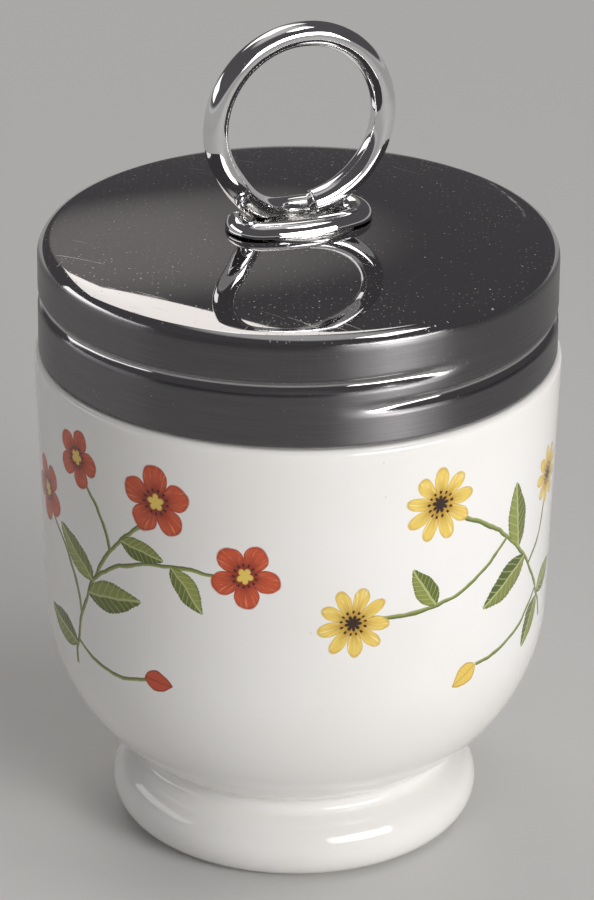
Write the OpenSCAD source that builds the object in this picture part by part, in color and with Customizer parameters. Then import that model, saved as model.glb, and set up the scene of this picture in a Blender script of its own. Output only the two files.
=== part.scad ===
// Porcelain egg coddler: a footed china cup whose neck carries a raised thread,
// and a domed steel lid that screws onto it, with a bent-wire lifting ring brazed on top.
// Millimetres, +Z up. The origin is the middle of the resting face under the foot.

/* [Bowl] */
// Width of the bowl just below the lid
bowl_d = 61; // [58:0.5:66]
// Height of the ledge that the lid's edge comes down to
ledge_h = 59.5; // [54:0.5:66]
// Thickness of the bowl's wall
wall = 3.8; // [3:0.1:4.6]
// Outward lean of the wall, in degrees
wall_lean = 2; // [1:0.25:4]
// Radius of the round turn from wall to base
turn_r = 22.5; // [20:0.5:25]
// Height of the middle of that turn
turn_h = 28.9; // [27.5:0.1:31]
// Rounding of the bowl's top corner
ledge_r = 0.8; // [0.5:0.1:1.2]

/* [Foot] */
// Width of the foot at its widest
foot_d = 43.2; // [41:0.2:46]
// Roundness of the foot's edge
foot_edge_r = 4; // [3.4:0.1:4.4]
// Radius of the hollow between foot and bowl
cove_r = 1.2; // [0.8:0.1:1.6]
// Width of the hollow under the foot
recess_d = 31.6; // [28:0.2:33]
// Depth of the hollow under the foot
recess_h = 6; // [4:0.25:6.5]

/* [Neck] */
// Height of the neck above the ledge
neck_h = 12.9; // [12:0.1:16]
// Thickness of the neck's wall
neck_wall = 3.2; // [2.8:0.1:3.6]
// Rounding of the rim
rim_r = 1.4; // [0.8:0.1:1.4]

/* [Thread] */
// Rise of the thread in one turn
pitch = 3; // [2.9:0.1:3.4]
// Turns of thread in the lid
lid_turns = 1.1; // [1:0.05:1.2]
// Turns of thread on the neck
neck_turns = 1.1; // [1:0.05:1.2]
// Height of the lid's thread above its edge, where the thread starts
thread_h = 4.2; // [3.6:0.1:4.6]
// Direction in which the lid's thread starts, in degrees
thread_start = -83; // [-180:1:180]
// Depth that the thread is rolled into the lid
thread_d = 0.7; // [0.5:0.05:0.8]
// Width of the groove rolled into the lid
groove_w = 2.2; // [1.8:0.1:2.4]
// Width of the ridge on the neck
ridge_w = 1.5; // [1.2:0.1:1.6]

/* [Lid] */
// Width of the lid
lid_d = 60; // [59.8:0.1:60.4]
// Thickness of the lid's steel
sheet = 0.5; // [0.4:0.05:0.6]
// Radius of the domed top
dome_r = 150; // [130:5:200]
// Rounding from the top to the side
lid_edge_r = 1.9; // [1.5:0.1:2.4]
// Width of the flat seat in the middle of the top
seat_d = 12; // [9:0.5:14]

/* [Lifting ring] */
// Thickness of the wire
wire_d = 2.9; // [2.4:0.1:3.4]
// Width of the ring, at the middle of its wire
ring_d = 20.8; // [19:0.2:23]
// Turn of the ring about the upright axis, in degrees
ring_turn = 24; // [-90:1:90]
// Height of the ring's lowest point above the loop, wire middle to wire middle
ring_lift = 1.8; // [1.4:0.1:3]
// Length of the flat loop, at the middle of its wire
loop_l = 14.8; // [13.8:0.1:15.2]
// Width of the flat loop, at the middle of its wire
loop_w = 7.2; // [6.8:0.1:8.4]
// Radius of the loop's two ends
loop_end_r = 2.9; // [2.4:0.1:3.2]
// Width of the braze under the loop
braze_d = 13; // [11:0.5:15]
// Thickness of the braze
braze_t = 0.2; // [0.1:0.05:0.4]

/* [Fit] */
// Gap between the lid and the porcelain
lid_gap = 0.3; // [0.2:0.05:0.5]
// Gap between the neck's thread and the inside of the lid
thread_gap = 0.25; // [0.15:0.05:0.35]

/* [Hidden] */
$fn = 96;

// Bowl and foot
bowl_r = bowl_d / 2;
foot_r = foot_d / 2;
recess_r = recess_d / 2;
recess_corner_r = 2;
foot_inner_r = 0.8;
// The round turn lies where the leaning wall runs smoothly into it and into the top corner
turn_x = bowl_r - ledge_r - (turn_r - ledge_r
    + (ledge_h - ledge_r - turn_h) * sin(wall_lean)) / cos(wall_lean);
turn_c = [turn_x, turn_h];
foot_c = [foot_r - foot_edge_r, foot_edge_r];
cove_c = meet(foot_c, foot_edge_r + cove_r, turn_c, turn_r + cove_r);

// Lid
lid_r = lid_d / 2;
lid_in_r = lid_r - sheet;
lid_bottom = ledge_h + lid_gap;
lid_edge_x = lid_r - lid_edge_r;

// Neck, which fits inside the lid's thread
neck_r = lid_in_r - thread_d - thread_gap;
mouth_r = neck_r - neck_wall;
rim_z = ledge_h + neck_h;
neck_blend_h = 4;
neck_root_r = 0.5;

// The top curves down from the seat's edge, and its inside clears the rim by one gap
seat_r = seat_d / 2;
rim_crest_x = neck_r - rim_r;
dome_in_r = dome_r - sheet;
dome_z = rim_z + lid_gap - sqrt(pow(dome_in_r, 2) - pow(rim_crest_x - seat_r, 2));
dome_c = [seat_r, dome_z];
lid_edge_z = dome_z + sqrt(pow(dome_r - lid_edge_r, 2) - pow(lid_edge_x - seat_r, 2));
lid_edge_a = atan2(lid_edge_z - dome_z, lid_edge_x - seat_r);
seat_z = dome_z + dome_r;
lid_sides = 60;
skirt_rows = 22;
// The dome's arc stops this angle short of the edge's turn
dome_gap_a = 0.5;

// Thread: the lid's thread and the neck's run half a pitch apart
thread_seg = 5;
thread_fade = 22;
thread_z0 = lid_bottom + thread_h;
ridge_crest_w = 0.5;
overlap = 0.35;
ridge_r = lid_in_r - thread_gap;

// Lifting ring and loop
wire_r = wire_d / 2;
ring_r = ring_d / 2;
// Part of the wire's radius that is pressed off the loop's underside
loop_flat_share = 0.95;
loop_flat_z = seat_z + braze_t;
loop_z = loop_flat_z + wire_r * (1 - loop_flat_share);
ring_z = loop_z + ring_lift + ring_r;
loop_end_x = loop_l / 2 - loop_end_r;
loop_half_w = loop_w / 2;
// The loop's long sides bow outward, each an arc that runs smoothly into the ends
loop_side_k = (pow(loop_end_x, 2) - pow(loop_half_w - loop_end_r, 2))
    / (2 * (loop_half_w - loop_end_r));
loop_side_r = loop_half_w + loop_side_k;
loop_side_a = atan2(loop_side_k, loop_end_x);
ring_end_a = -76;
ring_leave_a = 212;
loop_end_a = 297;
wire_sides = 14;

// Points along an arc from angle a0 to a1 in n steps
function arc(c, r, a0, a1, n) =
    [for (i = [0:n]) let (a = a0 + (a1 - a0) * i / n) [c.x + r * cos(a), c.y + r * sin(a)]];

// The outer of the two points that lie ra from a and rb from b
function meet(a, ra, b, rb) =
    let (d = norm(b - a),
        along = (ra * ra - rb * rb + d * d) / (2 * d),
        across = sqrt(ra * ra - along * along),
        u = (b - a) / d)
    a + along * u + across * [u.y, -u.x];

function angle_to(a, b) = atan2(b.y - a.y, b.x - a.x);

// A smooth step from 0 to 1
function ease(t) = (1 - cos(180 * max(0, min(1, t)))) / 2;

// Points of the wall's inner face between the neck and the bowl
function neck_blend(x0, x1, n) =
    [for (i = [0:n]) [x0 + (x1 - x0) * ease(i / n), ledge_h + 1 - (neck_blend_h + 1) * i / n]];

// Underside of the foot, from the middle out to the resting face
function foot_underside() = concat(
    [[0, recess_h]],
    arc([recess_r - recess_corner_r, recess_h - recess_corner_r], recess_corner_r, 90, 0, 5),
    arc([recess_r + foot_inner_r, foot_inner_r], foot_inner_r, 180, 270, 4));

// Outside of the foot, the cove and the bowl up to the ledge
function cup_outside() = concat(
    arc(foot_c, foot_edge_r, -90, angle_to(foot_c, cove_c), 16),
    arc(cove_c, cove_r, angle_to(cove_c, foot_c), angle_to(cove_c, turn_c) - 360, 8),
    arc(turn_c, turn_r, angle_to(turn_c, cove_c), -wall_lean, 20),
    arc([bowl_r - ledge_r, ledge_h - ledge_r], ledge_r, -wall_lean, 90, 6));

// Neck from its root to the rim, over the rim and down to the mouth
function neck_outside() = concat(
    arc([neck_r + neck_root_r, ledge_h + neck_root_r], neck_root_r, 270, 180, 4),
    arc([neck_r - rim_r, rim_z - rim_r], rim_r, 0, 90, 8),
    arc([mouth_r + rim_r, rim_z - rim_r], rim_r, 90, 180, 8));

// Inside of the cup, from the neck down to the floor, one wall inside the bowl
function cup_inside() =
    let (r = turn_r - wall,
        top_x = bowl_r - wall / cos(wall_lean) - (neck_blend_h - ledge_r) * tan(wall_lean))
    concat(
        neck_blend(mouth_r, top_x, 6),
        arc(turn_c, r, -wall_lean, -90, 18),
        [[0, turn_h - r]]);

// One face of the sheet from the seat out to the edge's turn and down the side
function lid_face(r, edge_r) =
    concat(
        arc(dome_c, r, 90, lid_edge_a + dome_gap_a, 9),
        arc([lid_edge_x, lid_edge_z], edge_r, lid_edge_a, 0, 6),
        [for (i = [1:skirt_rows])
            [lid_edge_x + edge_r, lid_edge_z + (lid_bottom - lid_edge_z) * i / skirt_rows]]);

// Depth of the rolled thread at height z, a degrees round from the thread's start
function groove(a, z) = max([for (turn = [0:floor(lid_turns)])
    let (t = a + 360 * turn,
        off = abs(z - thread_z0 - pitch * t / 360) / (groove_w / 2))
    thread_d * ease(1 - off) * ease(min(t, lid_turns * 360 - t) / thread_fade)]);

function reversed(list) = [for (i = [len(list) - 1:-1:0]) list[i]];

// Closed skin over rings of points that all have n points
function tube_faces(rings, n) = concat(
    [[for (j = [0:n - 1]) j]],
    [for (i = [0:rings - 2], j = [0:n - 1]) let (k = (j + 1) % n)
        each [[i * n + j, (i + 1) * n + j, (i + 1) * n + k],
            [i * n + j, (i + 1) * n + k, i * n + k]]],
    [[for (j = [n - 1:-1:0]) (rings - 1) * n + j]]);

// A bar wound round the axis. Its base half-width is w0 at radius r0 and its crest half-width
// is w1 at radius r1. At both ends the crest sinks to r_end, out of sight.
module winding(z0, start, turns, r0, w0, r1, w1, r_end) {
    steps = ceil(turns * 360 / thread_seg);
    points = [for (i = [0:steps])
        let (a = turns * 360 * i / steps,
            t = ease(min(a, turns * 360 - a) / thread_fade),
            r = r_end + (r1 - r_end) * t,
            z = z0 + pitch * a / 360)
        each [for (p = [[r0, -w0], [r, -w1], [r, w1], [r0, w0]])
            [p[0] * cos(start + a), p[0] * sin(start + a), z + p[1]]]];
    polyhedron(points = points, faces = tube_faces(steps + 1, 4));
}

module cup() {
    color("white") union() {
        rotate_extrude()
            polygon(concat(foot_underside(), cup_outside(), neck_outside(), cup_inside()));
        winding(thread_z0 + pitch / 2, thread_start, neck_turns,
            neck_r - overlap, ridge_w / 2, ridge_r, ridge_crest_w / 2, neck_r - overlap / 2);
    }
}

module lid_shell() {
    profile = concat(lid_face(dome_r, lid_edge_r),
        reversed(lid_face(dome_in_r, lid_edge_r - sheet)));
    points = [for (p = profile, j = [0:lid_sides - 1])
        let (a = 360 * j / lid_sides,
            r = p[0] - groove(a, p[1]))
        [r * cos(thread_start + a), r * sin(thread_start + a), p[1]]];
    skin = tube_faces(len(profile), lid_sides);
    color("silver") polyhedron(points = points, faces = [for (f = skin) reversed(f)]);
}

module braze_pad() {
    color("gainsboro") translate([0, 0, seat_z]) cylinder(d = braze_d, h = braze_t);
}

// Wire path, in the ring's own directions: x along the ring, y across it

// The loop's centre line at angle a of its travel, counted clockwise from the middle of the back
function loop_point(a) = let (b = 90 - a) [
    abs(sin(b)) >= sin(loop_side_a)
        ? loop_side_r * cos(b) : sign(cos(b)) * loop_end_x + loop_end_r * cos(b),
    abs(sin(b)) >= sin(loop_side_a)
        ? loop_side_r * sin(b) - sign(sin(b)) * loop_side_k : loop_end_r * sin(b),
    loop_z];

function ring_point(a) = [ring_r * cos(a), 0, ring_z + ring_r * sin(a)];

// Smooth curve from p to q that leaves along dp and arrives along dq
function blend_point(p, dp, q, dq, t) =
    pow(1 - t, 3) * p + 3 * t * pow(1 - t, 2) * (p + dp)
    + 3 * t * t * (1 - t) * (q - dq) + pow(t, 3) * q;

function wire_path() =
    let (leave = ring_point(ring_leave_a),
        leave_dir = [-sin(ring_leave_a), 0, cos(ring_leave_a)],
        reach = ring_r * 0.36)
    concat(
        [for (a = [ring_end_a:8:ring_leave_a - 4]) ring_point(a)],
        [for (i = [0:8]) blend_point(leave, reach * leave_dir,
            loop_point(0), [reach, 0, 0], i / 8)],
        [for (a = [9:9:loop_end_a]) loop_point(a)]);

function unit(v) = v / norm(v);

module ring_handle() {
    path = wire_path();
    last = len(path) - 1;
    dirs = [for (i = [0:last]) unit(path[min(i + 1, last)] - path[max(i - 1, 0)])];
    // One side direction is carried along the wire without twisting
    sides = [for (i = 0, s = [0, 1, 0]; i <= last;
        s = i < last ? unit(s - (s * dirs[i + 1]) * dirs[i + 1]) : s, i = i + 1) s];
    points = [for (i = [0:last], j = [0:wire_sides - 1])
        let (a = 360 * j / wire_sides,
            p = path[i] + wire_r * (cos(a) * sides[i] + sin(a) * cross(dirs[i], sides[i])))
        [p.x, p.y, max(p.z, loop_flat_z)]];
    color("silver") rotate([0, 0, ring_turn])
        polyhedron(points = points, faces = tube_faces(last + 1, wire_sides));
}

cup();
lid_shell();
braze_pad();
ring_handle();
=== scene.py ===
from math import atan2, cos, degrees, hypot, pi, radians, sin, sqrt, tan

import bmesh
import bpy
from mathutils import Matrix, Vector


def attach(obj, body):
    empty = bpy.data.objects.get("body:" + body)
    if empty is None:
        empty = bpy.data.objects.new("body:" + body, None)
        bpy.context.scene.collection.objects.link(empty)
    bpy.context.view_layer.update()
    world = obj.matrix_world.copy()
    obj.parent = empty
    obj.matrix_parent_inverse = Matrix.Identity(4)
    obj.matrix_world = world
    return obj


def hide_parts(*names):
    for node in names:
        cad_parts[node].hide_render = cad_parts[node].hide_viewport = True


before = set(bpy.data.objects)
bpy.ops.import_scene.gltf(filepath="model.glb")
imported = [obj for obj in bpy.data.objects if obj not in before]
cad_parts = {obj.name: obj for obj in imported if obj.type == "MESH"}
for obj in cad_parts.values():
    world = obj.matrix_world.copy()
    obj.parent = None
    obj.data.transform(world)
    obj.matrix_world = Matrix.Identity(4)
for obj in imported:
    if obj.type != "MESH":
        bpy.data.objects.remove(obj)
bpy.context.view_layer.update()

scene = bpy.context.scene
scene.view_settings.view_transform = "Standard"
mm = 0.001


def ease(t):  # smooth step from 0 to 1
    return (1 - cos(pi * max(0, min(1, t)))) / 2


def lineTo(bm, tip, x, z, steps=1):  # carries a profile on in a straight line
    start = tip.co.copy()
    for i in range(1, steps + 1):
        tip = bmesh.ops.extrude_vert_indiv(bm, verts=[tip])["verts"][0]
        tip.co = start.lerp(Vector((x, 0, z)), i / steps)
    return tip


def arcTo(bm, tip, centre, turn, steps):  # swings the profile's tip; a positive turn goes from +X to +Z
    made = bmesh.ops.spin(bm, geom=[tip], cent=(centre[0], 0, centre[1]), axis=(0, -1, 0),
                          angle=radians(turn), steps=steps)
    return [part for part in made["geom_last"] if isinstance(part, bmesh.types.BMVert)][0]


def lathe(bm, steps):  # turns the profile once round the upright axis
    bmesh.ops.spin(bm, geom=bm.verts[:] + bm.edges[:], cent=(0, 0, 0), axis=(0, 0, 1),
                   angle=2 * pi, steps=steps, use_merge=True)
    bmesh.ops.remove_doubles(bm, verts=bm.verts, dist=0.0005)
    bmesh.ops.dissolve_degenerate(bm, edges=bm.edges, dist=0.0001)
    bmesh.ops.recalc_face_normals(bm, faces=bm.faces)


def threadFall(x, y, z, thread):  # 0 to 1: how far a point lies into the thread's line
    past = (degrees(atan2(y, x)) - thread["start"]) % 360
    best = 0
    for turn in range(int(thread["turns"]) + 1):
        along = past + 360 * turn
        off = abs(z - thread["height"] - thread["pitch"] * along / 360) / (thread["width"] / 2)
        fade = ease(min(along, thread["turns"] * 360 - along) / thread["fade"])
        best = max(best, ease(1 - off) * fade)
    return best


def finish(bm, name, body, nodeName, materials):
    bmesh.ops.scale(bm, vec=(mm, mm, mm), verts=bm.verts)
    mesh = bpy.data.meshes.new(name)
    for face in bm.faces:
        face.smooth = True
    bm.to_mesh(mesh)
    bm.free()
    for material in materials:
        mesh.materials.append(material)
    piece = bpy.data.objects.new(name, mesh)
    scene.collection.objects.link(piece)
    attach(piece, body)
    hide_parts(nodeName)
    print("made", name, len(mesh.polygons), "faces")
    return piece


# Node helpers

def addNode(tree, kind, *values, **settings):  # values fill the sockets in their order; None leaves one alone
    node = tree.nodes.new("ShaderNode" + kind)
    for name, value in settings.items():
        setattr(node, name, value)
    for socket, value in zip(node.inputs, values):
        if isinstance(value, bpy.types.NodeSocket):
            tree.links.new(value, socket)
        elif value is not None:
            socket.default_value = value
    return node


def calc(tree, operation, *values, **settings):
    return addNode(tree, "Math", *values, operation=operation, **settings).outputs[0]


def mixColour(tree, factor, under, over, blend="MIX"):
    node = addNode(tree, "Mix", data_type="RGBA", blend_type=blend)
    for socket, value in zip((node.inputs[0], node.inputs[6], node.inputs[7]), (factor, under, over)):
        if isinstance(value, bpy.types.NodeSocket):
            tree.links.new(value, socket)
        else:
            socket.default_value = value
    return node.outputs[2]


def ramp(tree, value, low, high, toLow=0.0, toHigh=1.0, soft=True):
    return addNode(tree, "MapRange", value, low, high, toLow, toHigh,
                   interpolation_type="SMOOTHSTEP" if soft else "LINEAR").outputs[0]


def newGroup(name, inputs, outputs):
    tree = bpy.data.node_groups.new(name, "ShaderNodeTree")
    for inOut, sockets in (("INPUT", inputs), ("OUTPUT", outputs)):
        for label, kind in sockets.items():
            tree.interface.new_socket(name=label, in_out=inOut, socket_type="NodeSocket" + kind)
    return tree, tree.nodes.new("NodeGroupInput").outputs, tree.nodes.new("NodeGroupOutput").inputs


def newMaterial(name, **sockets):  # the shader's own sockets hold what is the same all over
    material = bpy.data.materials.new(name)
    material.use_nodes = True
    tree = material.node_tree
    shader = tree.nodes["Principled BSDF"]
    for label, value in sockets.items():
        shader.inputs[label.replace("_", " ")].default_value = value
    return material, tree, shader


def rgb(red, green, blue):
    return (red, green, blue, 1)


# Where a point lies round the upright axis: its angle, distance from the axis and height, in millimetres
aroundAxis, given, result = newGroup("aroundAxis", {"Vector": "Vector"},
                                     {"Angle": "Float", "Radius": "Float", "Height": "Float"})
parted = addNode(aroundAxis, "SeparateXYZ", given[0]).outputs
flat = addNode(aroundAxis, "CombineXYZ", parted[0], parted[1], 0.0).outputs[0]
aroundAxis.links.new(calc(aroundAxis, "ARCTAN2", parted[1], parted[0]), result[0])
reach = addNode(aroundAxis, "VectorMath", flat, operation="LENGTH").outputs[1]
aroundAxis.links.new(calc(aroundAxis, "MULTIPLY", reach, 1000.0), result[1])
aroundAxis.links.new(calc(aroundAxis, "MULTIPLY", parted[2], 1000.0), result[2])

# The same surface unrolled flat: X runs round at a given radius, Y is the height; both in metres
unrolled, given, result = newGroup("unrolled", {"Vector": "Vector", "Radius": "Float"}, {"Vector": "Vector"})
spot = addNode(unrolled, "Group", given[0], node_tree=aroundAxis).outputs
unrolled.links.new(addNode(unrolled, "CombineXYZ", calc(unrolled, "MULTIPLY", spot[0], given[1]),
                           calc(unrolled, "MULTIPLY", spot[2], mm), 0.0).outputs[0], result[0])

# Dust: small grains, each in a cell of its own across X and Y, with a tone from brown to pale blue
dustSpecks, given, result = newGroup("dustSpecks", {"Vector": "Vector", "Scale": "Float", "Size": "Float",
                                                    "Share": "Float"}, {"Mask": "Float", "Tone": "Float"})
cells = addNode(dustSpecks, "TexVoronoi", given[0], None, given[1], feature="F1", voronoi_dimensions="2D")
grain = calc(dustSpecks, "LESS_THAN", cells.outputs["Distance"], given[2])
cellTone = addNode(dustSpecks, "SeparateColor", cells.outputs["Color"]).outputs
chosen = calc(dustSpecks, "LESS_THAN", cellTone[0], given[3])
strength = calc(dustSpecks, "MULTIPLY_ADD", calc(dustSpecks, "POWER", cellTone[1], 2.0), 0.85, 0.15)
shown = calc(dustSpecks, "MULTIPLY", grain, chosen)
dustSpecks.links.new(calc(dustSpecks, "MULTIPLY", shown, strength), result[0])
dustSpecks.links.new(cellTone[2], result[1])

# Hairlines: fine straight scratches along one direction
hairlines, given, result = newGroup("hairlines", {"Vector": "Vector", "Turn": "Float", "Cut": "Float"},
                                    {"Mask": "Float"})
turned = addNode(hairlines, "VectorRotate", given[0], None, None, given[1], rotation_type="Z_AXIS").outputs[0]
stretched = addNode(hairlines, "VectorMath", turned, (90.0, 5200.0, 90.0), operation="MULTIPLY").outputs[0]
streaks = addNode(hairlines, "TexNoise", stretched, None, 1.0, 1.0, 0.4).outputs[0]
hairlines.links.new(ramp(hairlines, streaks, given[2], calc(hairlines, "ADD", given[2], 0.04)), result[0])

# Petals round a middle, for a place whose flower has a radius of 1
petalPrint, given, result = newGroup("petalPrint", {"Vector": "Vector", "Petals": "Float", "Waist": "Float"},
                                     {"Mask": "Float", "Reach": "Float", "Fold": "Float", "Streak": "Float",
                                      "Dots": "Float"})
away = addNode(petalPrint, "VectorMath", given[0], operation="LENGTH").outputs[1]
parted = addNode(petalPrint, "SeparateXYZ", given[0]).outputs
swing = calc(petalPrint, "ARCTAN2", parted[1], parted[0])
lobe = calc(petalPrint, "ABSOLUTE", calc(petalPrint, "COSINE", calc(
    petalPrint, "MULTIPLY", swing, calc(petalPrint, "MULTIPLY", given[1], 0.5))))
outline = calc(petalPrint, "MULTIPLY_ADD", calc(petalPrint, "POWER", lobe, 0.55),
               calc(petalPrint, "SUBTRACT", 1.0, given[2]), given[2])
reach = calc(petalPrint, "DIVIDE", away, outline)
streakAt = addNode(petalPrint, "CombineXYZ", calc(petalPrint, "MULTIPLY", swing, 9.0), away, 0.0).outputs[0]
petalPrint.links.new(ramp(petalPrint, reach, 1.03, 0.97), result[0])
petalPrint.links.new(reach, result[1])
petalPrint.links.new(ramp(petalPrint, lobe, 0.35, 0.0), result[2])
petalPrint.links.new(addNode(petalPrint, "TexNoise", streakAt, None, 1.6, 2.0, 0.6).outputs[0], result[3])
ring = ramp(petalPrint, calc(petalPrint, "ABSOLUTE", calc(petalPrint, "SUBTRACT", away, 0.33)), 0.06, 0.03)
spots = ramp(petalPrint, calc(petalPrint, "COSINE", calc(petalPrint, "MULTIPLY", swing, 13.0)), 0.1, 0.6)
petalPrint.links.new(calc(petalPrint, "MULTIPLY", ring, spots), result[4])

# A pointed leaf or bud, for a place whose leaf runs from -1 to 1 along X
leafPrint, given, result = newGroup("leafPrint", {"Vector": "Vector", "Teeth": "Float"},
                                    {"Mask": "Float", "Rib": "Float", "Side": "Float", "Edge": "Float"})
parted = addNode(leafPrint, "SeparateXYZ", given[0]).outputs
side = calc(leafPrint, "ABSOLUTE", parted[1])
hump = calc(leafPrint, "SUBTRACT", 1.0, calc(leafPrint, "MULTIPLY", parted[0], parted[0]))
hump = calc(leafPrint, "MAXIMUM", hump, 0.0)
bias = calc(leafPrint, "MULTIPLY_ADD", parted[0], -0.3, 1.0)
tooth = calc(leafPrint, "PINGPONG", calc(leafPrint, "ADD", parted[0], 1.0), 0.06)
halfWidth = calc(leafPrint, "MULTIPLY_ADD", calc(leafPrint, "POWER", hump, 0.8), bias,
                 calc(leafPrint, "MULTIPLY", tooth, given[1]))
within = ramp(leafPrint, calc(leafPrint, "SUBTRACT", side, halfWidth), 0.04, -0.03)
leafPrint.links.new(calc(leafPrint, "MULTIPLY", within, ramp(leafPrint, hump, 0.0, 0.05)), result[0])
veinLine = calc(leafPrint, "ABSOLUTE", calc(leafPrint, "SUBTRACT", calc(leafPrint, "FRACT", calc(
    leafPrint, "MULTIPLY", calc(leafPrint, "MULTIPLY_ADD", side, -0.35, parted[0]), 4.0)), 0.5))
rib = calc(leafPrint, "MAXIMUM", ramp(leafPrint, side, 0.12, 0.04), calc(
    leafPrint, "MULTIPLY", ramp(leafPrint, veinLine, 0.12, 0.03), 0.6))
leafPrint.links.new(rib, result[1])
leafPrint.links.new(ramp(leafPrint, parted[1], -0.1, 0.1), result[2])
leafPrint.links.new(ramp(leafPrint, calc(leafPrint, "SUBTRACT", halfWidth, side), 0.25, 0.0), result[3])

# A bowed stem from -1 to 1 along X
stemPrint, given, result = newGroup("stemPrint", {"Vector": "Vector", "Bow": "Float", "Thickness": "Float"},
                                    {"Mask": "Float", "Shade": "Float"})
parted = addNode(stemPrint, "SeparateXYZ", given[0]).outputs
hump = calc(stemPrint, "SUBTRACT", 1.0, calc(stemPrint, "MULTIPLY", parted[0], parted[0]))
offLine = calc(stemPrint, "DIVIDE", calc(stemPrint, "SUBTRACT", parted[1], calc(
    stemPrint, "MULTIPLY", hump, given[1])), given[2])
within = ramp(stemPrint, calc(stemPrint, "ABSOLUTE", offLine), 1.15, 0.85)
stemPrint.links.new(calc(stemPrint, "MULTIPLY", within, ramp(stemPrint, hump, 0.0, 0.02)), result[0])
stemPrint.links.new(ramp(stemPrint, offLine, 0.8, -0.8), result[1])

# Flowers printed on the cup, laid out twice round it. Places are in millimetres: along the wall from the
# seam of the half turn, then up from the table. Turns are in degrees.
sprigs = {
    "wallRadius": 30.4,
    "seam": radians(187),
    "stems": [  # from, to, bow
        (20, 25.5, 33.8, 48.5, 0.10), (24.6, 38.4, 43.5, 43, 0.12), (21.8, 32.5, 14.2, 43, -0.14),
        (27.7, 42.8, 22.8, 50.5, -0.10), (20.8, 29.1, 33, 28.2, -0.12),
        (90.5, 29, 70, 49.5, -0.10), (85.2, 38.0, 89.6, 45.8, -0.14), (79.7, 43.6, 60, 38.4, 0.12),
        (88.0, 33.9, 75, 28.8, 0.10)],
    "leaves": [  # foot, turn, length, half width, tone
        (23.3, 36.0, 12, 9.2, 1.9, 0.5), (24.4, 38.0, 146, 8.4, 1.7, 0.9), (20.6, 28.3, 166, 8.0, 1.7, 0.2),
        (36.6, 43.4, -52, 6.4, 1.4, 0.7), (29.6, 44.8, -8, 6.0, 1.3, 0.3),
        (82.3, 41.3, 98, 8.8, 1.8, 0.6), (83.9, 39.6, 206, 9.0, 1.9, 0.1), (88.6, 32.9, 18, 6.6, 1.5, 0.8),
        (68.5, 38.3, 122, 6.2, 1.4, 0.4), (88.5, 32.5, 232, 6.4, 1.4, 0.3)],
    "buds": [  # along, up, turn, half length, half width, tints
        (34.6, 28.3, -4, 2.0, 1.3, "red"), (73.2, 27.9, 208, 2.0, 1.3, "gold")],
    "flowers": {  # along, up, turn, radius
        "red": [(34.8, 51.2, 20, 4.5), (45.6, 43.7, -12, 4.2), (13.2, 45.2, 48, 4.2), (22.0, 52.6, 70, 3.8)],
        "gold": [(68.6, 51.0, 8, 4.6), (58.2, 37.9, 33, 4.4), (90.4, 47.4, 60, 3.7)]},
    "stemThickness": 0.26,
    "leafDark": rgb(0.075, 0.105, 0.018), "leafLight": rgb(0.30, 0.34, 0.085), "rib": rgb(0.45, 0.47, 0.20),
    "stemDark": rgb(0.10, 0.14, 0.03), "stemLight": rgb(0.33, 0.36, 0.12),
    "red": (rgb(0.24, 0.022, 0.010), rgb(0.56, 0.085, 0.032), rgb(0.78, 0.26, 0.13)),  # deep, warm, pale
    "gold": (rgb(0.45, 0.25, 0.03), rgb(0.78, 0.56, 0.12), rgb(0.90, 0.80, 0.42)),
    "dark": rgb(0.035, 0.018, 0.012),
    "petals": {"red": 5.0, "gold": 9.0}, "waist": {"red": 0.5, "gold": 0.42},
}


def place(tree, surface, along, up, turn, size, width=None):
    return addNode(tree, "Mapping", surface, (along, up, 0.0), (0.0, 0.0, radians(turn)),
                   (size, width or size, 1.0), vector_type="TEXTURE").outputs[0]


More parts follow.
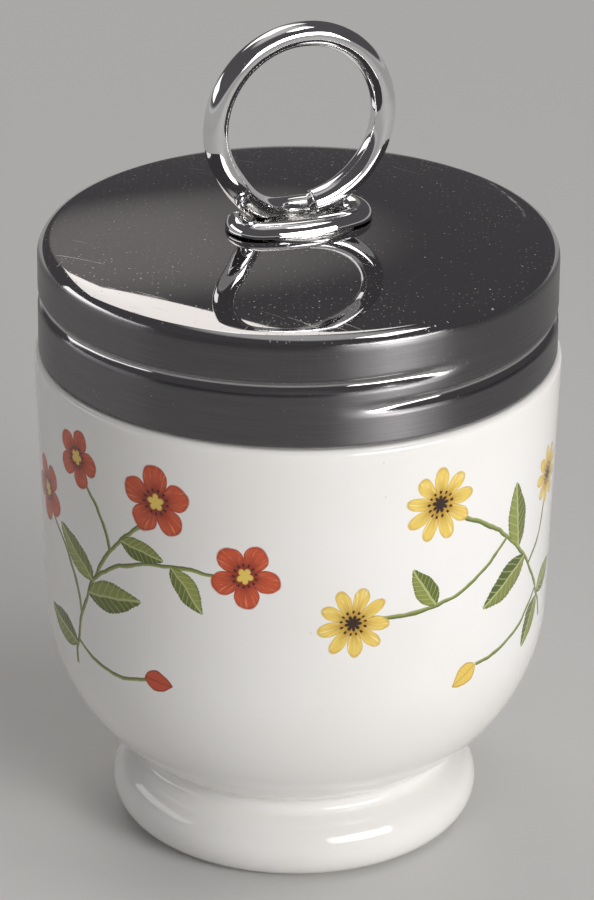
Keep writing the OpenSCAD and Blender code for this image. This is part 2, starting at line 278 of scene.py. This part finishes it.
def paintSprigs(tree, colour, where):
    spot = addNode(tree, "Group", where, node_tree=aroundAxis).outputs
    half = calc(tree, "WRAP", calc(tree, "ADD", spot[0], sprigs["seam"]), pi, 0.0)
    along = calc(tree, "MULTIPLY", half, sprigs["wallRadius"])
    plain = addNode(tree, "CombineXYZ", along, spot[2], 0.0).outputs[0]
    wobble = addNode(tree, "TexNoise", plain, None, 0.3, 2.0, 0.5).outputs["Color"]
    shift = addNode(tree, "VectorMath", wobble, (0.5, 0.5, 0.5), operation="SUBTRACT").outputs[0]
    surface = addNode(tree, "VectorMath", shift, (0.8, 0.8, 0.0), plain, operation="MULTIPLY_ADD").outputs[0]
    for x0, z0, x1, z1, bow in sprigs["stems"]:
        size = hypot(x1 - x0, z1 - z0) / 2
        turn = degrees(atan2(z1 - z0, x1 - x0))
        stem = addNode(tree, "Group", place(tree, surface, (x0 + x1) / 2, (z0 + z1) / 2, turn, size), 2 * bow,
                       sprigs["stemThickness"] / size, node_tree=stemPrint).outputs
        green = mixColour(tree, stem[1], sprigs["stemDark"], sprigs["stemLight"])
        colour = mixColour(tree, stem[0], colour, green)
    for x0, z0, turn, length, width, tone in sprigs["leaves"]:
        middle = x0 + length / 2 * cos(radians(turn)), z0 + length / 2 * sin(radians(turn))
        leaf = addNode(tree, "Group", place(tree, surface, *middle, turn, length / 2, width), 0.9,
                       node_tree=leafPrint).outputs
        blade = mixColour(tree, calc(tree, "MULTIPLY_ADD", leaf[2], 0.55, 0.45 * tone), sprigs["leafDark"],
                          sprigs["leafLight"])
        blade = mixColour(tree, calc(tree, "MULTIPLY", leaf[3], 0.6), blade, sprigs["leafDark"])
        colour = mixColour(tree, leaf[0], colour, mixColour(tree, leaf[1], blade, sprigs["rib"]))
    for alongAt, up, turn, size, width, tints in sprigs["buds"]:
        bud = addNode(tree, "Group", place(tree, surface, alongAt, up, turn, size, width), 0.0,
                      node_tree=leafPrint).outputs
        deep, warm = sprigs[tints][:2]
        tint = mixColour(tree, calc(tree, "MULTIPLY", bud[3], 0.8), warm, deep)
        tint = mixColour(tree, calc(tree, "MULTIPLY", bud[1], 0.5), tint, deep)
        colour = mixColour(tree, bud[0], colour, tint)
    for tints, flowers in sprigs["flowers"].items():
        deep, warm, pale = sprigs[tints]
        eye = sprigs["gold"][1] if tints == "red" else sprigs["dark"]
        for alongAt, up, turn, size in flowers:
            flower = addNode(tree, "Group", place(tree, surface, alongAt, up, turn, size),
                             sprigs["petals"][tints], sprigs["waist"][tints], node_tree=petalPrint).outputs
            tint = mixColour(tree, ramp(tree, flower[1], 0.15, 0.8), deep, warm)
            tint = mixColour(tree, calc(tree, "MULTIPLY", ramp(tree, flower[3], 0.5, 0.75),
                                        ramp(tree, flower[1], 0.3, 0.7)), tint, pale)
            tint = mixColour(tree, calc(tree, "MULTIPLY", flower[2], 0.75), tint, deep)
            tint = mixColour(tree, calc(tree, "MULTIPLY", ramp(tree, flower[1], 0.88, 1.0), 0.5), tint, deep)
            tint = mixColour(tree, ramp(tree, flower[1], 0.27, 0.21), tint, eye)
            tint = mixColour(tree, flower[4], tint, sprigs["dark"])
            colour = mixColour(tree, flower[0], colour, tint)
    return colour


# Porcelain under a clear glaze, with or without the print
glaze = {
    "body": rgb(0.85, 0.84, 0.825), "warmBody": rgb(0.83, 0.815, 0.79),
    "roughness": (0.05, 0.10), "waver": 0.02, "bareRing": rgb(0.66, 0.63, 0.58),
    "dust": rgb(0.35, 0.31, 0.27), "dustScale": 240.0, "dustSize": 0.03, "dustShare": 0.12,
}


def makeGlaze(name, printed):
    material, tree, shader = newMaterial(name, IOR=1.52)
    where = addNode(tree, "TexCoord").outputs["Object"]
    broad = addNode(tree, "TexNoise", where, None, 38.0, 3.0, 0.5).outputs[0]
    fine = addNode(tree, "TexNoise", where, None, 900.0, 2.0, 0.5).outputs[0]
    colour = mixColour(tree, ramp(tree, broad, 0.35, 0.7), glaze["body"], glaze["warmBody"])
    low, high = glaze["roughness"]
    roughness = ramp(tree, broad, 0.3, 0.75, low, high)
    if printed:
        colour = paintSprigs(tree, colour, where)
    else:  # the foot's resting ring is bare of glaze
        bare = ramp(tree, addNode(tree, "Group", where, node_tree=aroundAxis).outputs[2], 0.5, 0.2)
        colour = mixColour(tree, bare, colour, glaze["bareRing"])
        roughness = calc(tree, "MULTIPLY_ADD", bare, 0.6, roughness)
    flat = addNode(tree, "Group", where, 0.03, node_tree=unrolled).outputs[0]
    specks = addNode(tree, "Group", flat, glaze["dustScale"], glaze["dustSize"], glaze["dustShare"],
                     node_tree=dustSpecks).outputs[0]
    colour = mixColour(tree, calc(tree, "MULTIPLY", specks, 0.3), colour, glaze["dust"])
    bump = addNode(tree, "Bump", glaze["waver"], 0.002)
    tree.links.new(calc(tree, "MULTIPLY_ADD", fine, 0.02, broad), bump.inputs["Height"])
    tree.links.new(colour, shader.inputs["Base Color"])
    tree.links.new(roughness, shader.inputs["Roughness"])
    tree.links.new(bump.outputs[0], shader.inputs["Normal"])
    return material


# Steel: a mirror-polished top with hairlines and a smear, and a side brushed round, both dusty
steel = {
    # painted shade: the side colours are the same steel as the top, set much darker to stand in for the dark
    # room the satin side reflects
    "top": rgb(0.46, 0.45, 0.455), "side": rgb(0.185, 0.18, 0.185), "shadedSideDark": rgb(0.15, 0.145, 0.15),
    "topRoughness": 0.03, "sideRoughness": 0.35, "brushing": 0.9, "brownDust": rgb(0.50, 0.38, 0.26),
    "paleDust": rgb(0.66, 0.68, 0.70),
    "coarseDust": (560.0, 0.055), "fineDust": (1400.0, 0.13),  # scale, size
    "smudgeRadius": (26.3, 28.2), "smudgeTurn": (8, 42), "smudgeWidth": 0.9,
}


def steelDust(tree, where, share):  # two sizes of grain; gives their mask and colour
    coarse = addNode(tree, "Group", where, *steel["coarseDust"], calc(tree, "MULTIPLY", share, 0.45),
                     node_tree=dustSpecks)
    fine = addNode(tree, "Group", where, *steel["fineDust"], share, node_tree=dustSpecks)
    mask = calc(tree, "MAXIMUM", calc(tree, "MULTIPLY", coarse.outputs[0], 0.8),
                calc(tree, "MULTIPLY", fine.outputs[0], 0.4))
    tone = ramp(tree, calc(tree, "ADD", coarse.outputs[1], fine.outputs[1]), 0.7, 1.4)
    return mask, mixColour(tree, tone, steel["brownDust"], steel["paleDust"])


def makeSteel():
    material, tree, shader = newMaterial("polishedSteel")
    where = addNode(tree, "TexCoord").outputs["Object"]
    spot = addNode(tree, "Group", where, node_tree=aroundAxis).outputs
    cloud = addNode(tree, "TexNoise", where, None, 70.0, 4.0, 0.6).outputs[0]
    drift = addNode(tree, "TexNoise", where, None, 60.0, 3.0, 0.6).outputs[0]
    mask, dust = steelDust(tree, where, ramp(tree, drift, 0.40, 0.60, 0.15, 0.9))
    scratch = calc(tree, "MAXIMUM",
                   addNode(tree, "Group", where, 0.6, 0.75, node_tree=hairlines).outputs[0],
                   addNode(tree, "Group", where, 2.1, 0.76, node_tree=hairlines).outputs[0])
    turnFrom, turnTo = (radians(turn) for turn in steel["smudgeTurn"])
    line = ramp(tree, spot[0], turnFrom, turnTo, *steel["smudgeRadius"], soft=False)
    line = calc(tree, "ADD", line, ramp(tree, cloud, 0.3, 0.7, -0.3, 0.3))
    across = calc(tree, "ABSOLUTE", calc(tree, "SUBTRACT", spot[1], line))
    across = ramp(tree, across, steel["smudgeWidth"] / 2, 0.0)
    along = calc(tree, "ABSOLUTE", calc(tree, "SUBTRACT", spot[0], (turnFrom + turnTo) / 2))
    along = ramp(tree, along, (turnTo - turnFrom) / 2, (turnTo - turnFrom) / 4)
    wisps = ramp(tree, addNode(tree, "TexNoise", where, None, 420.0, 4.0, 0.7).outputs[0], 0.25, 0.65)
    smudge = calc(tree, "MULTIPLY", calc(tree, "MULTIPLY", across, along), wisps)
    colour = mixColour(tree, calc(tree, "MULTIPLY", smudge, 0.5), steel["top"], steel["paleDust"])
    colour = mixColour(tree, mask, colour, dust)
    roughness = ramp(tree, cloud, 0.35, 0.7, steel["topRoughness"] - 0.015, steel["topRoughness"] + 0.02)
    roughness = calc(tree, "MULTIPLY_ADD", calc(tree, "MAXIMUM", mask, smudge), 0.6, roughness)
    roughness = calc(tree, "MULTIPLY_ADD", scratch, 0.08, roughness)
    bump = addNode(tree, "Bump", 0.10, 0.0003)
    tree.links.new(calc(tree, "MULTIPLY_ADD", scratch, -0.2, calc(tree, "MULTIPLY", cloud, 0.02)),
                   bump.inputs["Height"])
    tree.links.new(colour, shader.inputs["Base Color"])
    tree.links.new(roughness, shader.inputs["Roughness"])
    tree.links.new(calc(tree, "SUBTRACT", 1.0, mask), shader.inputs["Metallic"])
    tree.links.new(bump.outputs[0], shader.inputs["Normal"])
    return material


def makeSatin():
    material, tree, shader = newMaterial("satinSteel", Metallic=1.0, Anisotropic=steel["brushing"],
                                         Anisotropic_Rotation=0.25)
    where = addNode(tree, "TexCoord").outputs["Object"]
    spot = addNode(tree, "Group", where, node_tree=aroundAxis).outputs
    brushAt = addNode(tree, "CombineXYZ", calc(tree, "MULTIPLY", spot[0], 3.0),
                      calc(tree, "MULTIPLY", spot[2], 9.0), 0.0).outputs[0]
    brush = addNode(tree, "TexNoise", brushAt, None, 1.0, 4.0, 0.65).outputs[0]
    drift = addNode(tree, "TexNoise", where, None, 60.0, 3.0, 0.6).outputs[0]
    flat = addNode(tree, "Group", where, 0.03, node_tree=unrolled).outputs[0]
    mask, dust = steelDust(tree, flat, ramp(tree, drift, 0.42, 0.66, 0.03, 0.3))
    # the rolled thread keeps the polished top's own colour and gloss, without the side's painted shade
    groove = ramp(tree, spot[1], lid["radius"] - 0.1, lid["radius"] - 0.3)  # the rolled thread stays bright
    # painted shade: away from the thread the satin side takes the darkened side colours, with brush noise
    # between two shaded tones
    colour = mixColour(tree, ramp(tree, brush, 0.35, 0.7), steel["side"], steel["shadedSideDark"])
    colour = mixColour(tree, groove, colour, steel["top"])
    colour = mixColour(tree, calc(tree, "MULTIPLY", mask, 0.7), colour, dust)
    satin = steel["sideRoughness"]
    roughness = calc(tree, "MULTIPLY_ADD", groove, 0.08 - satin,
                     ramp(tree, brush, 0.3, 0.75, satin - 0.02, satin + 0.03))
    roughness = calc(tree, "MULTIPLY_ADD", mask, 0.3, roughness)
    bump = addNode(tree, "Bump", 0.04, 0.0003)
    tree.links.new(calc(tree, "MULTIPLY", brush, calc(tree, "SUBTRACT", 1.0, groove)), bump.inputs["Height"])
    tree.links.new(colour, shader.inputs["Base Color"])
    tree.links.new(roughness, shader.inputs["Roughness"])
    tree.links.new(bump.outputs[0], shader.inputs["Normal"])
    tangent = addNode(tree, "Tangent", direction_type="RADIAL", axis="Z").outputs[0]
    tree.links.new(tangent, shader.inputs["Tangent"])
    return material


# Chromed wire
chrome = {
    "bright": rgb(0.80, 0.795, 0.80), "dull": rgb(0.70, 0.695, 0.70), "roughness": (0.02, 0.06),
    "dust": rgb(0.5, 0.46, 0.40), "dustScale": 700.0, "dustSize": 0.05, "dustShare": 0.12,
}


def makeChrome():
    material, tree, shader = newMaterial("chromedWire", Metallic=1.0)
    where = addNode(tree, "TexCoord").outputs["Object"]
    cloud = addNode(tree, "TexNoise", where, None, 160.0, 4.0, 0.6).outputs[0]
    scratch = addNode(tree, "Group", where, 1.2, 0.72, node_tree=hairlines).outputs[0]
    flat = addNode(tree, "Group", where, 0.01, node_tree=unrolled).outputs[0]
    specks = addNode(tree, "Group", flat, chrome["dustScale"], chrome["dustSize"], chrome["dustShare"],
                     node_tree=dustSpecks).outputs[0]
    colour = mixColour(tree, ramp(tree, cloud, 0.35, 0.75), chrome["bright"], chrome["dull"])
    colour = mixColour(tree, calc(tree, "MULTIPLY", specks, 0.5), colour, chrome["dust"])
    roughness = calc(tree, "MULTIPLY_ADD", scratch, 0.1, ramp(tree, cloud, 0.3, 0.8, *chrome["roughness"]))
    roughness = calc(tree, "MULTIPLY_ADD", specks, 0.3, roughness)
    bump = addNode(tree, "Bump", 0.05, 0.0003)
    tree.links.new(cloud, bump.inputs["Height"])
    tree.links.new(colour, shader.inputs["Base Color"])
    tree.links.new(roughness, shader.inputs["Roughness"])
    tree.links.new(bump.outputs[0], shader.inputs["Normal"])
    return material


def makeBraze():
    material, tree, shader = newMaterial("brazeMetal", Metallic=1.0)
    where = addNode(tree, "TexCoord").outputs["Object"]
    pools = addNode(tree, "TexNoise", where, None, 420.0, 4.0, 0.6).outputs[0]
    colour = mixColour(tree, ramp(tree, pools, 0.35, 0.7), braze["bright"], braze["dull"])
    bump = addNode(tree, "Bump", 0.25, 0.0005)
    tree.links.new(pools, bump.inputs["Height"])
    tree.links.new(colour, shader.inputs["Base Color"])
    tree.links.new(ramp(tree, pools, 0.3, 0.75, *braze["roughness"]), shader.inputs["Roughness"])
    tree.links.new(bump.outputs[0], shader.inputs["Normal"])
    return material


# Cup: one lathed skin of foot, bowl, ledge, neck and inside
cup = {
    "bowlRadius": 30.5, "ledgeHeight": 59.5, "wall": 3.8, "wallLean": 2, "turnRadius": 22.5,
    "turnHeight": 28.9, "ledgeRounding": 0.8, "footRadius": 21.6, "footRounding": 4, "coveRadius": 1.2,
    "recessRadius": 15.8, "recessDepth": 6, "recessCorner": 2, "footInner": 0.8, "neckRadius": 28.55,
    "mouthRadius": 25.35, "rimHeight": 72.4, "rimRounding": 1.4, "neckRoot": 0.5, "neckBlend": 4,
    "thread": {"start": -83, "turns": 1.1, "height": 65.5, "pitch": 3, "width": 1.7, "fade": 22},
    "ridge": 0.68, "steps": 240, "printFrom": 14, "printTo": 59.3,
}


def buildCup():
    lean = radians(cup["wallLean"])
    ledge, turnR, corner = cup["ledgeHeight"], cup["turnRadius"], cup["ledgeRounding"]
    bowl = cup["bowlRadius"]
    turnX = bowl - corner - (turnR - corner + (ledge - corner - cup["turnHeight"]) * sin(lean)) / cos(lean)
    turn = Vector((turnX, cup["turnHeight"]))
    foot = Vector((cup["footRadius"] - cup["footRounding"], cup["footRounding"]))
    footReach, turnReach = cup["footRounding"] + cup["coveRadius"], turnR + cup["coveRadius"]
    between = turn - foot
    nearer = (footReach ** 2 - turnReach ** 2 + between.length ** 2) / (2 * between.length)
    way = between.normalized()
    cove = foot + way * nearer + Vector((way.y, -way.x)) * sqrt(footReach ** 2 - nearer ** 2)
    footToCove = degrees(atan2(*(cove - foot).yx))
    coveToTurn = degrees(atan2(*(turn - cove).yx))
    turnToCove = degrees(atan2(*(cove - turn).yx))
    bm = bmesh.new()
    tip = bm.verts.new((0, 0, cup["recessDepth"]))
    recess, small = cup["recessRadius"], cup["recessCorner"]
    tip = lineTo(bm, tip, recess - small, cup["recessDepth"], 10)
    tip = arcTo(bm, tip, (recess - small, cup["recessDepth"] - small), -90, 8)
    tip = lineTo(bm, tip, recess, cup["footInner"], 4)
    tip = arcTo(bm, tip, (recess + cup["footInner"], cup["footInner"]), 90, 6)
    tip = lineTo(bm, tip, foot.x, 0, 3)
    tip = arcTo(bm, tip, foot, footToCove + 90, 22)
    tip = arcTo(bm, tip, cove, coveToTurn - 180 - footToCove, 12)
    tip = arcTo(bm, tip, turn, -cup["wallLean"] - turnToCove, 36)
    tip = lineTo(bm, tip, bowl - corner + corner * cos(lean), ledge - corner - corner * sin(lean), 20)
    tip = arcTo(bm, tip, (bowl - corner, ledge - corner), 90 + cup["wallLean"], 10)
    neck, root = cup["neckRadius"], cup["neckRoot"]
    tip = lineTo(bm, tip, neck + root, ledge, 2)
    tip = arcTo(bm, tip, (neck + root, ledge + root), -90, 5)
    rim, rounding, mouth = cup["rimHeight"], cup["rimRounding"], cup["mouthRadius"]
    tip = lineTo(bm, tip, neck, rim - rounding, 60)
    tip = arcTo(bm, tip, (neck - rounding, rim - rounding), 90, 10)
    tip = lineTo(bm, tip, mouth + rounding, rim)
    tip = arcTo(bm, tip, (mouth + rounding, rim - rounding), 90, 10)
    tip = lineTo(bm, tip, mouth, ledge + 1, 6)
    topX = bowl - cup["wall"] / cos(lean) - (cup["neckBlend"] - corner) * tan(lean)
    for i in range(1, 13):
        height = ledge + 1 - (cup["neckBlend"] + 1) * i / 12
        tip = lineTo(bm, tip, mouth + (topX - mouth) * ease(i / 12), height)
    inner = turnR - cup["wall"]
    tip = lineTo(bm, tip, turn.x + inner * cos(lean), turn.y - inner * sin(lean), 12)
    tip = arcTo(bm, tip, turn, cup["wallLean"] - 90, 30)
    lineTo(bm, tip, 0, turn.y - inner, 5)
    lathe(bm, cup["steps"])
    for vert in bm.verts:
        x, y, z = vert.co
        if abs(hypot(x, y) - neck) < 0.01:
            swell = 1 + cup["ridge"] * threadFall(x, y, z, cup["thread"]) / neck
            vert.co.x, vert.co.y = x * swell, y * swell
    for face in bm.faces:
        middle = face.calc_center_median()
        if cup["printFrom"] < middle.z < cup["printTo"] and face.normal.xy.dot(middle.xy) > 0:
            face.material_index = 1
    return finish(bm, "cupBody", "cup", "cup",
                  [makeGlaze("plainGlaze", False), makeGlaze("printedGlaze", True)])


# Lid: one skin of pressed sheet, with the thread rolled into its side
lid = {
    "radius": 30, "sheet": 0.5, "bottom": 59.8, "edgeRounding": 1.9, "domeRadius": 150, "seatRadius": 6,
    "rimCrest": 27.15, "rimHeight": 72.4, "gap": 0.3, "steps": 240, "satinBelow": 72.2,
    "thread": {"start": -83, "turns": 1.1, "height": 64.0, "pitch": 3, "width": 2.2, "fade": 22},
    "depth": 0.7,
}
lidInner = lid["domeRadius"] - lid["sheet"]
lidMiddle = lid["rimHeight"] + lid["gap"] - sqrt(lidInner ** 2 - (lid["rimCrest"] - lid["seatRadius"]) ** 2)
seatHeight = lidMiddle + lid["domeRadius"]


def buildLid():
    radius, sheet, rounding, seat = lid["radius"], lid["sheet"], lid["edgeRounding"], lid["seatRadius"]
    edgeX = radius - rounding
    edgeZ = lidMiddle + sqrt((lid["domeRadius"] - rounding) ** 2 - (edgeX - seat) ** 2)
    edgeTurn = degrees(atan2(edgeZ - lidMiddle, edgeX - seat))
    bm = bmesh.new()
    tip = bm.verts.new((0, 0, seatHeight))
    tip = lineTo(bm, tip, seat, seatHeight, 6)
    tip = arcTo(bm, tip, (seat, lidMiddle), edgeTurn - 90, 22)
    tip = arcTo(bm, tip, (edgeX, edgeZ), -edgeTurn, 14)
    tip = lineTo(bm, tip, radius, lid["bottom"] + sheet / 2, 62)
    tip = arcTo(bm, tip, (radius - sheet / 2, lid["bottom"] + sheet / 2), -180, 6)
    tip = lineTo(bm, tip, radius - sheet, edgeZ, 62)
    tip = arcTo(bm, tip, (edgeX, edgeZ), edgeTurn, 8)
    tip = arcTo(bm, tip, (seat, lidMiddle), 90 - edgeTurn, 12)
    lineTo(bm, tip, 0, seatHeight - sheet, 4)
    lathe(bm, lid["steps"])
    for vert in bm.verts:
        x, y, z = vert.co
        away = hypot(x, y)
        if away > edgeX and z < edgeZ:
            fall = 1 - lid["depth"] * threadFall(x, y, z, lid["thread"]) / away
            vert.co.x, vert.co.y = x * fall, y * fall
    for face in bm.faces:
        middle = face.calc_center_median()
        if middle.z < lid["satinBelow"] and face.normal.xy.dot(middle.xy) > 0:
            face.material_index = 1
    return finish(bm, "lidSkin", "lid", "lid_shell", [makeSteel(), makeSatin()])


# Lifting ring: one wire, up and round the ring, then down into the flat loop, which stands on the braze
braze = {
    "radius": 6.5, "thickness": 0.2, "rounding": 0.16, "waver": 0.035,
    "bright": rgb(0.52, 0.51, 0.50), "dull": rgb(0.30, 0.29, 0.27), "roughness": (0.12, 0.32),
}
wire = {
    "thickness": 2.9, "ringRadius": 10.37, "turn": 24, "ringLift": 1.8, "flatShare": 0.95,
    "loopLength": 14.8, "loopWidth": 7.2, "loopEnd": 2.9, "ringFrom": -82, "ringTo": 212,
    "loopTo": 306, "reach": 0.36, "endBevel": 0.3,
}
loopBottom = seatHeight + braze["thickness"]
loopHeight = loopBottom + wire["thickness"] / 2 * (1 - wire["flatShare"])
ringHeight = loopHeight + wire["ringLift"] + wire["ringRadius"]


def ringPoint(angle):
    return Vector((wire["ringRadius"] * cos(angle), 0, ringHeight + wire["ringRadius"] * sin(angle)))


def loopPoint(travel):  # clockwise from the middle of the back
    a = pi / 2 - travel
    endX, halfWidth, end = wire["loopLength"] / 2 - wire["loopEnd"], wire["loopWidth"] / 2, wire["loopEnd"]
    offset = (endX ** 2 - (halfWidth - end) ** 2) / (2 * (halfWidth - end))
    if abs(sin(a)) >= sin(atan2(offset, endX)):
        side = 1 if sin(a) > 0 else -1
        radius = halfWidth + offset
        return Vector((radius * cos(a), radius * sin(a) - side * offset, loopHeight))
    side = 1 if cos(a) > 0 else -1
    return Vector((side * endX + end * cos(a), end * sin(a), loopHeight))


def wirePoints():
    first, last = radians(wire["ringFrom"]), radians(wire["ringTo"])
    points = [ringPoint(first + (last - first) * i / 120) for i in range(120)]
    leave, reach = ringPoint(last), wire["ringRadius"] * wire["reach"]
    leaveBy = leave + Vector((-sin(last), 0, cos(last))) * reach
    arrive = loopPoint(0)
    arriveBy = arrive - Vector((reach, 0, 0))
    for i in range(24):
        t = i / 24
        points.append((1 - t) ** 3 * leave + 3 * t * (1 - t) ** 2 * leaveBy + 3 * t * t * (1 - t) * arriveBy
                      + t ** 3 * arrive)
    return points + [loopPoint(radians(wire["loopTo"]) * i / 100) for i in range(101)]


def buildRing():
    points = wirePoints()
    curve = bpy.data.curves.new("ringLine", "CURVE")
    curve.dimensions = "3D"
    spline = curve.splines.new("POLY")
    spline.points.add(len(points) - 1)
    for control, point in zip(spline.points, points):
        control.co = (*point, 1)
    curve.bevel_depth = wire["thickness"] / 2
    curve.bevel_resolution = 10
    curve.use_fill_caps = True
    drawn = bpy.data.objects.new("ringLine", curve)
    scene.collection.objects.link(drawn)
    bpy.context.view_layer.update()
    bm = bmesh.new()
    bm.from_mesh(drawn.evaluated_get(bpy.context.evaluated_depsgraph_get()).to_mesh())
    bpy.data.objects.remove(drawn)
    bmesh.ops.remove_doubles(bm, verts=bm.verts, dist=0.001)
    bmesh.ops.recalc_face_normals(bm, faces=bm.faces)
    cuts = [edge for edge in bm.edges if edge.is_manifold and edge.calc_face_angle() > radians(60)]
    bmesh.ops.bevel(bm, geom=cuts, offset=wire["endBevel"], segments=4, profile=0.5, affect="EDGES",
                    material=-1)
    for vert in bm.verts:  # the loop's underside is pressed flat
        vert.co.z = max(vert.co.z, loopBottom)
    turn = Matrix.Rotation(radians(wire["turn"]), 3, "Z")
    bmesh.ops.rotate(bm, cent=(0, 0, 0), matrix=turn, verts=bm.verts)
    return finish(bm, "ringWire", "lid", "ring_handle", [makeChrome()])


# Braze: a thin pool of metal that holds the loop on its seat
def buildBraze():
    bm = bmesh.new()
    bmesh.ops.create_circle(bm, cap_ends=True, segments=120, radius=braze["radius"])
    made = bmesh.ops.extrude_face_region(bm, geom=bm.faces[:])["geom"]
    raised = [part for part in made if isinstance(part, bmesh.types.BMVert)]
    bmesh.ops.translate(bm, vec=(0, 0, braze["thickness"]), verts=raised)
    brim = [e for e in bm.edges if all(v.co.z > braze["thickness"] / 2 for v in e.verts)]
    bmesh.ops.bevel(bm, geom=brim, offset=braze["rounding"], segments=4, profile=0.5, affect="EDGES",
                    material=-1)
    for vert in bm.verts:
        a = atan2(vert.co.y, vert.co.x)
        dip = 1 - braze["waver"] * (0.5 + 0.3 * sin(3 * a + 1) + 0.2 * sin(7 * a))
        vert.co.x, vert.co.y = vert.co.x * dip, vert.co.y * dip
    bmesh.ops.translate(bm, vec=(0, 0, seatHeight), verts=bm.verts)
    bmesh.ops.recalc_face_normals(bm, faces=bm.faces)
    return finish(bm, "brazePool", "lid_lift", "braze_pad", [makeBraze()])


buildCup()
buildLid()
buildRing()
buildBraze()

# Floor, light and camera
studio = {
    "floorSize": 6.0, "floor": rgb(0.66, 0.655, 0.645),
    "farFloorFrom": 0.12, "farFloorTo": 0.40, "farFloorGlow": 0.61,
    "horizon": rgb(0.50, 0.50, 0.50), "room": rgb(0.09, 0.086, 0.09), "horizonTo": 0.01, "roomFrom": 0.09,
    "overhead": rgb(0.6, 0.6, 0.6), "overheadFrom": 0.88, "overheadTo": 0.97,
    "glow": rgb(0.27, 0.255, 0.25), "glowAround": 97.5, "glowRise": 25, "glowReach": (11, 1),
    "camera": (0, -0.57327, 0.305885), "pitch": 24.385, "roll": 0.5,
    "focalPixels": 5394.97, "frameHeight": 900, "aim": (0, 0, 0.045),
    # degrees round from +X, degrees up, degrees of roll, distance, width, height, watts, colour
    "lamps": {"frontBox": (-48, 15, 0, 0.80, 0.58, 0.30, 3.4, (1.0, 0.99, 0.98)),
              "frontCore": (-48, 15, 0, 0.79, 0.22, 0.26, 1.85, (1.0, 0.985, 0.97)),
              "highBox": (-20, 64, 0, 0.90, 0.30, 0.20, 0.9, (1.0, 1.0, 1.0)),
              "leftBox": (176, 18, 0, 0.85, 0.80, 0.20, 1.0, (1.0, 1.0, 1.0)),
              "backPanel": (112, 53.5, 27.5, 0.85, 0.54, 0.575, 1.6, (1.0, 0.965, 0.92))},
}


def direction(around, rise):
    return Vector((cos(radians(rise)) * cos(radians(around)), cos(radians(rise)) * sin(radians(around)),
                   sin(radians(rise))))


def buildStudio():
    bm = bmesh.new()
    bmesh.ops.create_grid(bm, x_segments=1, y_segments=1, size=studio["floorSize"] / 2)
    mesh = bpy.data.meshes.new("floor")
    bm.to_mesh(mesh)
    bm.free()
    floor = bpy.data.objects.new("floor", mesh)
    scene.collection.objects.link(floor)
    material, tree, shader = newMaterial("paleFloor", Roughness=1.0, Specular_IOR_Level=0.0,
                                         Emission_Color=studio["floor"])
    where = addNode(tree, "TexCoord").outputs["Object"]
    drift = addNode(tree, "TexNoise", where, None, 6.0, 4.0, 0.5).outputs[0]
    colour = mixColour(tree, ramp(tree, drift, 0.3, 0.7, 0.0, 0.06), studio["floor"], rgb(0.6, 0.6, 0.6))
    seen = addNode(tree, "LightPath").outputs  # to the eye, the far floor keeps one pale tone under the lamps
    seenBy = calc(tree, "ADD", seen["Is Camera Ray"], calc(tree, "ADD", seen["Is Glossy Ray"],
                                                           seen["Is Transmission Ray"]), use_clamp=True)
    away = addNode(tree, "VectorMath", where, operation="LENGTH").outputs[1]
    far = calc(tree, "MULTIPLY", ramp(tree, away, studio["farFloorFrom"], studio["farFloorTo"]), seenBy)
    tree.links.new(mixColour(tree, far, colour, rgb(0.0, 0.0, 0.0)), shader.inputs["Base Color"])
    tree.links.new(calc(tree, "MULTIPLY", far, studio["farFloorGlow"]), shader.inputs["Emission Strength"])
    mesh.materials.append(material)
    world = bpy.data.worlds.new("studioRoom")
    scene.world = world
    world.use_nodes = True
    tree = world.node_tree
    towards = addNode(tree, "TexCoord").outputs["Generated"]
    up = addNode(tree, "SeparateXYZ", towards).outputs[2]
    aboveHorizon = ramp(tree, up, studio["horizonTo"], studio["roomFrom"])
    overhead = ramp(tree, up, studio["overheadFrom"], studio["overheadTo"])
    colour = mixColour(tree, aboveHorizon, studio["horizon"], studio["room"])
    colour = mixColour(tree, overhead, colour, studio["overhead"])
    near = addNode(tree, "VectorMath", towards, tuple(direction(studio["glowAround"], studio["glowRise"])),
                   operation="DOT_PRODUCT").outputs[1]
    outer, inner = (cos(radians(reach)) for reach in studio["glowReach"])
    colour = mixColour(tree, ramp(tree, near, outer, inner), colour, studio["glow"])
    tree.links.new(colour, tree.nodes["Background"].inputs["Color"])
    aim = Vector(studio["aim"])
    for name, (around, rise, roll, distance, width, height, watts, tint) in studio["lamps"].items():
        lamp = bpy.data.lights.new(name, "AREA")
        lamp.shape, lamp.size, lamp.size_y, lamp.energy, lamp.color = "RECTANGLE", width, height, watts, tint
        box = bpy.data.objects.new(name, lamp)
        away = direction(around, rise)
        facing = away.to_track_quat("Z", "Y").to_matrix().to_4x4() @ Matrix.Rotation(radians(roll), 4, "Z")
        box.matrix_world = Matrix.Translation(aim + away * distance) @ facing
        scene.collection.objects.link(box)
    lens = bpy.data.cameras.new("photoView")
    lens.sensor_width = 36
    lens.lens = studio["focalPixels"] / studio["frameHeight"] * lens.sensor_width
    lens.clip_start, lens.clip_end = 0.05, 20
    camera = bpy.data.objects.new("photoView", lens)
    camera.matrix_world = (Matrix.Translation(studio["camera"])
                           @ Matrix.Rotation(radians(90 - studio["pitch"]), 4, "X")
                           @ Matrix.Rotation(radians(studio["roll"]), 4, "Z"))
    scene.collection.objects.link(camera)
    scene.camera = camera
    print("studio ready")


buildStudio()
bpy.context.view_layer.update()
